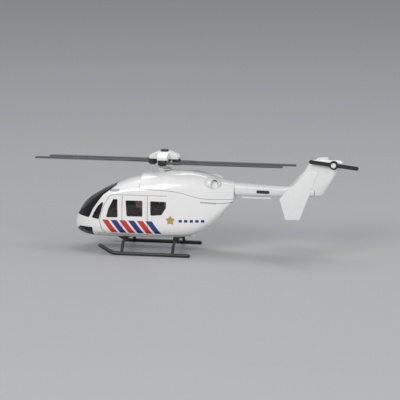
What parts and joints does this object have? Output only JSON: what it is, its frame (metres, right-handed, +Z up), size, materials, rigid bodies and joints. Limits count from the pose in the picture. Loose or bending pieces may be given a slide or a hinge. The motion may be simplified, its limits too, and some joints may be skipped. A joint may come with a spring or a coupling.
{
  "type": "helicopter scale model",
  "caption": "Toy scale model of a light twin-engined helicopter on skids, with a turning main rotor, swinging blades and a turning tail rotor.",
  "frame": {"origin": "on the surface that the skids stand on, under the middle of the overall length and width", "axes": "+X towards the tail along the longest extent, -Y the port side, +Z up along the rotor mast"},
  "size_m": [0.1914, 0.0476, 0.0597],
  "materials": {
    "body_paint": "gloss white enamel on die-cast metal",
    "white_plastic": "gloss white moulded plastic",
    "smoke_glass": "gloss dark smoke clear plastic",
    "cabin_trim": "matt dark grey moulded plastic",
    "seat_trim": "matt grey moulded plastic",
    "black_plastic": "satin black moulded plastic",
    "blade_plastic": "satin black flexible plastic",
    "bare_metal": "plain bright metal",
    "exhaust_plastic": "white moulded plastic"
  },
  "bodies": {
    "airframe": {"body_shell": "body_paint", "engine_cowling": "body_paint", "belly_pan": "white_plastic", "centre_post": "white_plastic", "tail_boom": "white_plastic", "boom_keel": "white_plastic", "tail_fin": "white_plastic", "stabiliser": "white_plastic", "mast_bush": "white_plastic", "tail_rotor_axle": "white_plastic", "end_plate_port": "white_plastic", "end_plate_starboard": "white_plastic", "exhaust_port": "exhaust_plastic", "exhaust_starboard": "exhaust_plastic", "windshield_port": "smoke_glass", "windshield_starboard": "smoke_glass", "quarter_window_port": "smoke_glass", "quarter_window_starboard": "smoke_glass", "roof_window_port": "smoke_glass", "roof_window_starboard": "smoke_glass", "chin_window_port": "smoke_glass", "chin_window_starboard": "smoke_glass", "side_glazing_port": "smoke_glass", "side_glazing_starboard": "smoke_glass", "cabin_floor": "cabin_trim", "instrument_panel": "cabin_trim", "engine_deck": "cabin_trim", "rear_bench": "seat_trim", "pilot_seat_port": "seat_trim", "pilot_seat_starboard": "seat_trim", "cross_bow_front": "black_plastic", "cross_bow_rear": "black_plastic", "bow_clamps": "black_plastic", "skid_tube_port": "black_plastic", "skid_tube_starboard": "black_plastic", "belly_screws": "bare_metal"},
    "main_rotor": {"rotor_mast": "white_plastic", "mast_clip": "bare_metal", "rotor_hub": "white_plastic", "hub_cap": "black_plastic", "blade_pins": "bare_metal"},
    "blade_fore": {"blade_fore": "blade_plastic"},
    "blade_aft": {"blade_aft": "blade_plastic"},
    "blade_port": {"blade_port": "blade_plastic"},
    "blade_starboard": {"blade_starboard": "blade_plastic"},
    "tail_rotor": {"tail_rotor_blades": "blade_plastic"}
  },
  "joints": [
    {"name": "rotor_spin", "type": "hinge", "parent": "airframe", "child": "main_rotor", "pos_m": [-0.01821, 0, 0.0527], "axis": [0, 0, 1], "continuous": true},
    {"name": "blade_fore_fold", "type": "hinge", "parent": "main_rotor", "child": "blade_fore", "pos_m": [-0.02522, 0, 0.0527], "axis": [0, 0, 1], "range_deg": [0, 90]},
    {"name": "blade_aft_fold", "type": "hinge", "parent": "main_rotor", "child": "blade_aft", "pos_m": [-0.01121, 0, 0.0527], "axis": [0, 0, 1], "range_deg": [0, 90]},
    {"name": "blade_port_fold", "type": "hinge", "parent": "main_rotor", "child": "blade_port", "pos_m": [-0.01821, -0.007, 0.0527], "axis": [0, 0, 1], "range_deg": [-90, 0]},
    {"name": "blade_starboard_fold", "type": "hinge", "parent": "main_rotor", "child": "blade_starboard", "pos_m": [-0.01821, 0.007, 0.0527], "axis": [0, 0, 1], "range_deg": [-90, 0]},
    {"name": "tail_rotor_spin", "type": "hinge", "parent": "airframe", "child": "tail_rotor", "pos_m": [0.08138, -0.00395, 0.0543], "axis": [0, 1, 0], "continuous": true}
  ]
}
